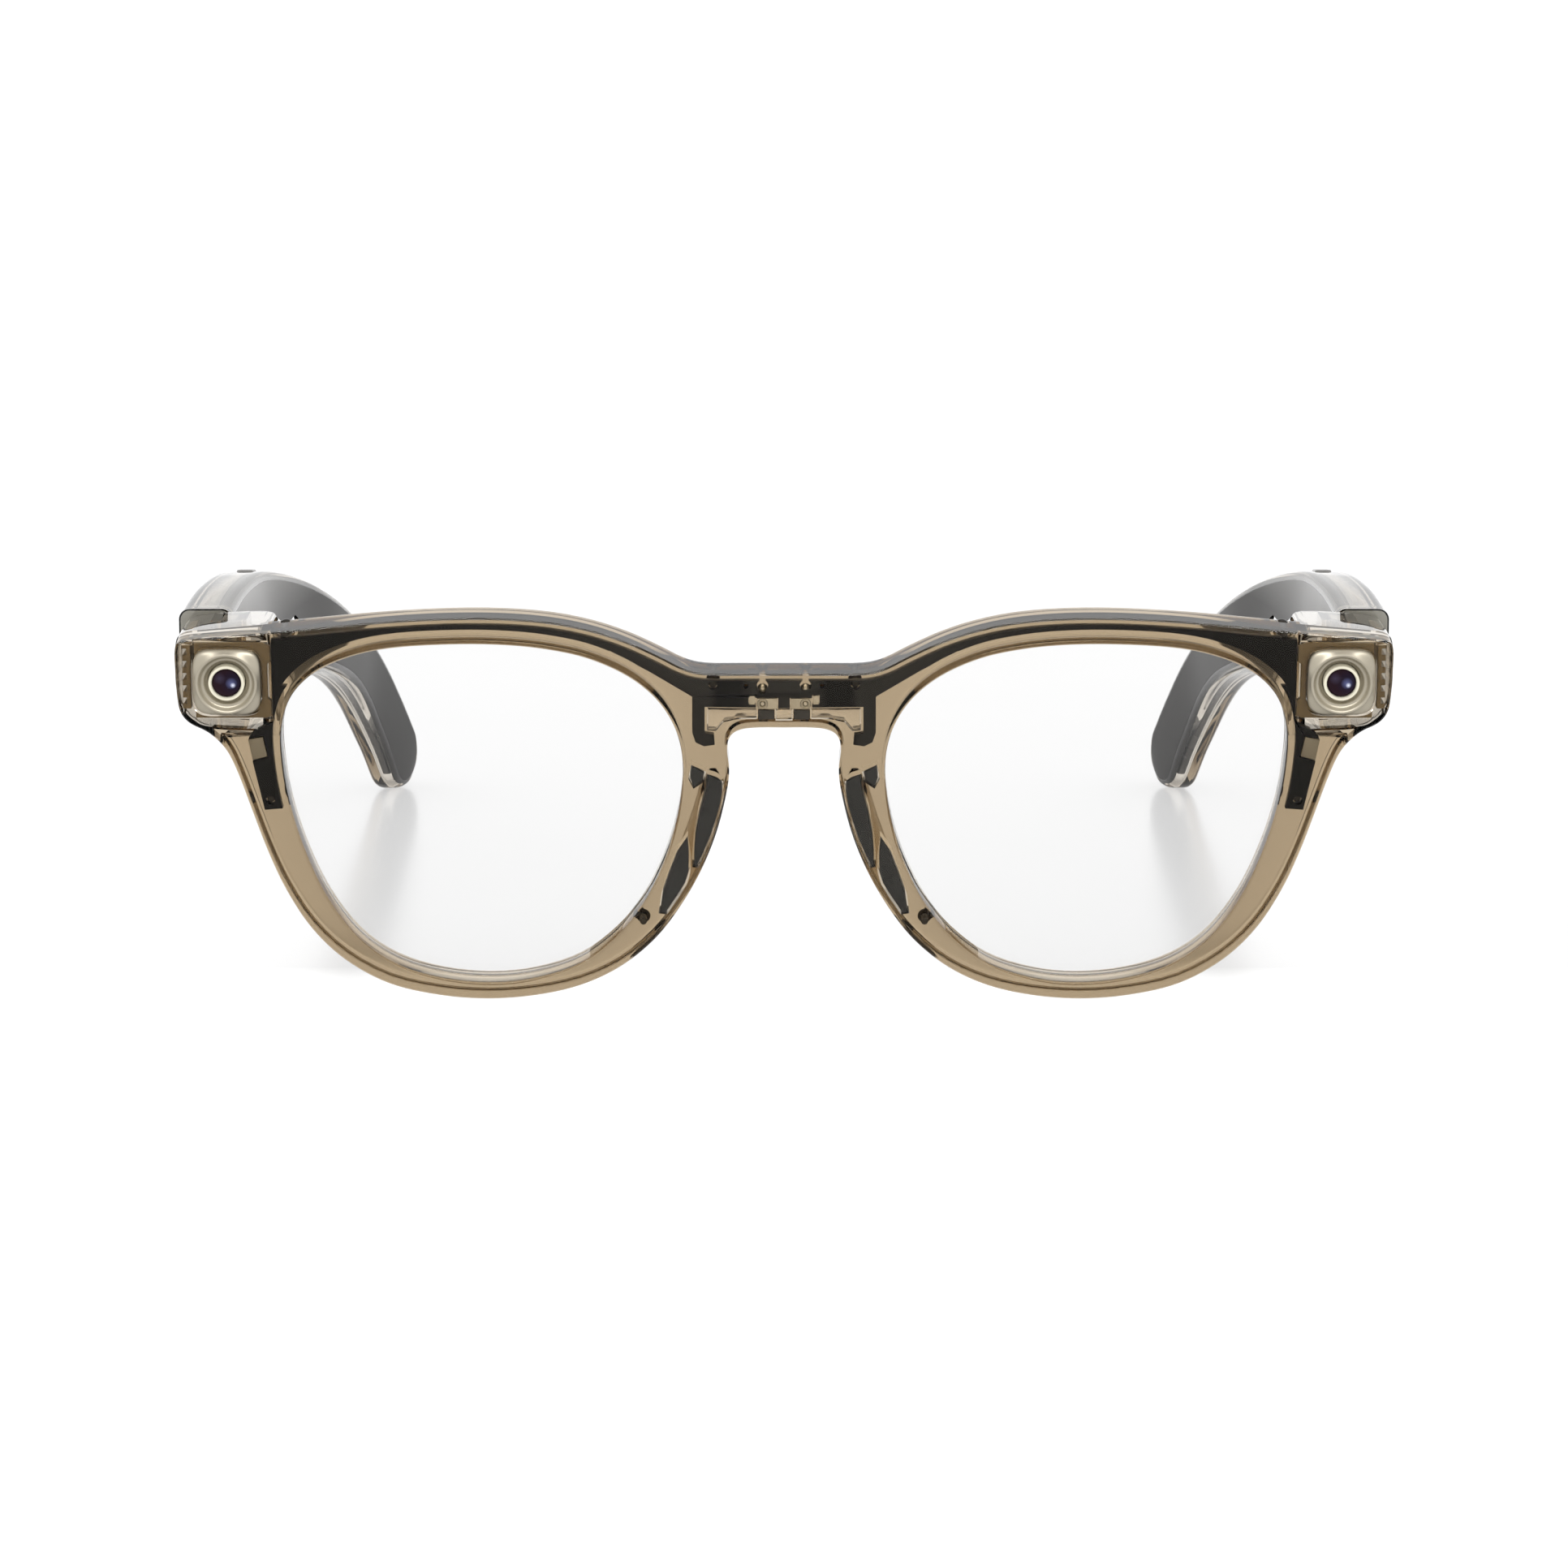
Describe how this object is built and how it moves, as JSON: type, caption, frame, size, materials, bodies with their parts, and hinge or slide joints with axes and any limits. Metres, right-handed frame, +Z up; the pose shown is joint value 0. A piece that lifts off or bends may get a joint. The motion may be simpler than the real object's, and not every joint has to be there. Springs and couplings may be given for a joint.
{
  "type": "smart glasses",
  "caption": "Round keyhole-bridge smart glasses in translucent plastic, with a corner camera and light, folding temples that hold the electronics, buttons and a slider.",
  "frame": {"origin": "on the surface the glasses stand on with the temples open, below the middle of their bounding box", "axes": "+X to the wearer's left, -Y ahead of the wearer, +Z up"},
  "size_m": [0.1498, 0.1473, 0.049],
  "materials": {
    "tan_plastic": "polished translucent tan plastic",
    "grey_plastic": "polished translucent warm grey plastic",
    "clear_lens": "clear coated lens",
    "black_plastic": "smooth moulded black plastic",
    "graphite_plastic": "satin dark grey plastic",
    "champagne_metal": "bead-blasted champagne metal",
    "cream_plastic": "gloss cream ring",
    "dark_glass": "coated dark lens",
    "steel": "bright steel",
    "circuit_board": "solder mask with parts",
    "amber_flex": "amber film with copper tracks"
  },
  "bodies": {
    "front": {"front_shell": "tan_plastic", "rear_cover": "tan_plastic", "lens_right": "clear_lens", "lens_left": "clear_lens", "carrier_frame": "black_plastic", "front_flex": "amber_flex", "camera_bezel": "champagne_metal", "camera_ring": "cream_plastic", "camera_lens": "dark_glass", "camera_module": "black_plastic", "light_bezel": "champagne_metal", "light_ring": "cream_plastic", "light_lens": "dark_glass", "light_board": "circuit_board", "corner_brackets": "champagne_metal", "contact_posts": "champagne_metal", "contact_plates": "champagne_metal", "contact_pads": "graphite_plastic", "bridge_plates": "champagne_metal", "nose_pads": "tan_plastic", "nose_inserts": "black_plastic", "nose_microphone": "steel", "side_blocks": "black_plastic", "side_contacts": "champagne_metal", "front_hinge_leaves": "steel", "hinge_pins": "steel", "cover_screws": "steel"},
    "temple_right": {"temple_shell_right": "grey_plastic", "temple_cover_right": "graphite_plastic", "temple_hinge_right": "steel", "main_board_right": "circuit_board", "touch_pad_right": "amber_flex", "battery_right": "steel", "speaker_right": "black_plastic", "speaker_grille_right": "graphite_plastic", "temple_core_right": "champagne_metal", "temple_microphone_right": "steel", "button_switch_right": "black_plastic"},
    "temple_left": {"temple_shell_left": "grey_plastic", "temple_cover_left": "graphite_plastic", "temple_hinge_left": "steel", "radio_board_left": "circuit_board", "antenna_left": "amber_flex", "battery_left": "steel", "speaker_left": "black_plastic", "speaker_grille_left": "graphite_plastic", "temple_core_left": "champagne_metal", "temple_microphone_left": "steel", "button_switch_left": "black_plastic", "power_switch": "black_plastic"},
    "capture_button": {"capture_button": "grey_plastic"},
    "action_button": {"action_button": "grey_plastic"},
    "power_knob": {"power_knob": "steel"}
  },
  "joints": [
    {"name": "temple_left_fold", "type": "hinge", "parent": "front", "child": "temple_left", "pos_m": [0.068, -0.05465, 0.04], "axis": [0, 0, 1], "range_deg": [0, 87]},
    {"name": "temple_right_fold", "type": "hinge", "parent": "front", "child": "temple_right", "pos_m": [-0.068, -0.05465, 0.04], "axis": [0, 0, -1], "range_deg": [0, 79]},
    {"name": "capture_press", "type": "slide", "parent": "temple_right", "child": "capture_button", "axis": [0, -0.1392, -0.9903], "range_m": [0, 0.0005], "stiffness_N_per_m": 800, "springref_m": -0.0005},
    {"name": "action_press", "type": "slide", "parent": "temple_left", "child": "action_button", "axis": [0, -0.1392, -0.9903], "range_m": [0, 0.0005], "stiffness_N_per_m": 800, "springref_m": -0.0005},
    {"name": "power_slide", "type": "slide", "parent": "temple_left", "child": "power_knob", "axis": [0, 1, 0], "range_m": [0, 0.0022]}
  ]
}
